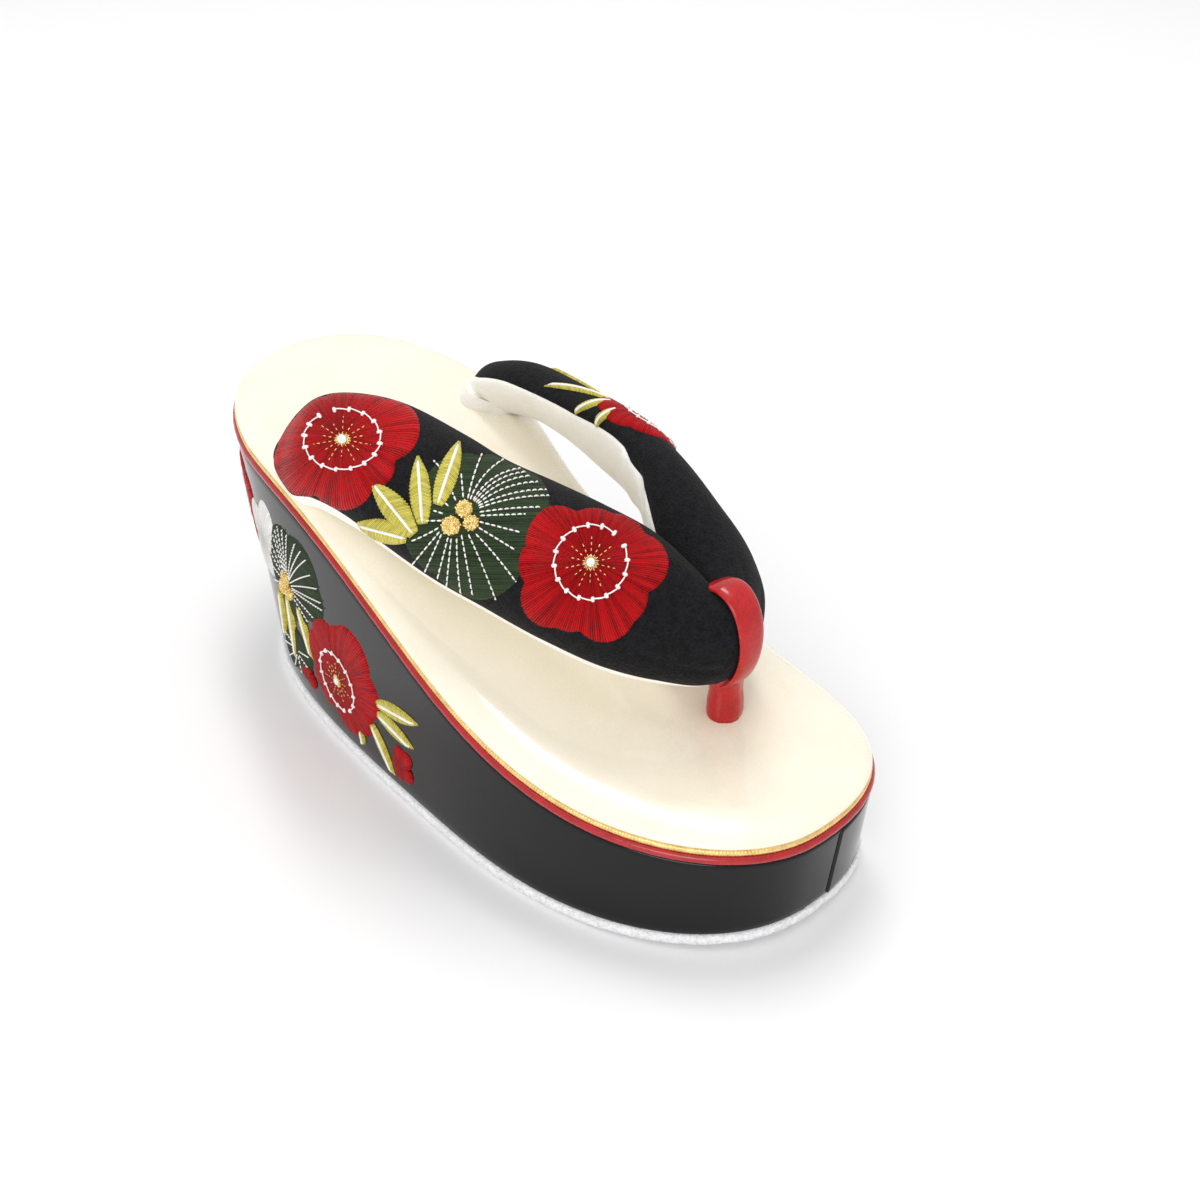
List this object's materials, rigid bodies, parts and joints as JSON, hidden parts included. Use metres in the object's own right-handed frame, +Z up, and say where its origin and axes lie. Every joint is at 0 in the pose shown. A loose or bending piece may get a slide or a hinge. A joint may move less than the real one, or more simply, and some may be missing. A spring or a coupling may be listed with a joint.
{
  "type": "zori",
  "caption": "Thick-soled dress zori for the right foot: tall raked wedge, corded edge, padded footbed and fat embroidered straps joined in front by a red toe thong.",
  "frame": {"origin": "on the floor plane, under the middle of the shoe's length and width", "axes": "+X to the toe, +Y to the inner side of the foot, +Z up"},
  "size_m": [0.2398, 0.0969, 0.1092],
  "materials": {
    "outsole_sheet": "matte, fibrous pale grey sheet",
    "black_patent": "glossy black patent",
    "red_cord": "glossy red cord",
    "gold_cord": "ribbed gold cord with a metallic sheen",
    "cream_leather": "pearly cream leather, semi-gloss",
    "black_crepe": "matte black crepe with satin-stitch embroidery, pale velvet lining below",
    "red_leather": "semi-gloss red enamelled leather"
  },
  "bodies": {
    "root": {"outsole": "outsole_sheet", "wedge": "black_patent", "red_piping": "red_cord", "gold_piping": "gold_cord", "footbed": "cream_leather", "straps": "black_crepe", "thong": "red_leather"}
  },
  "joints": []
}
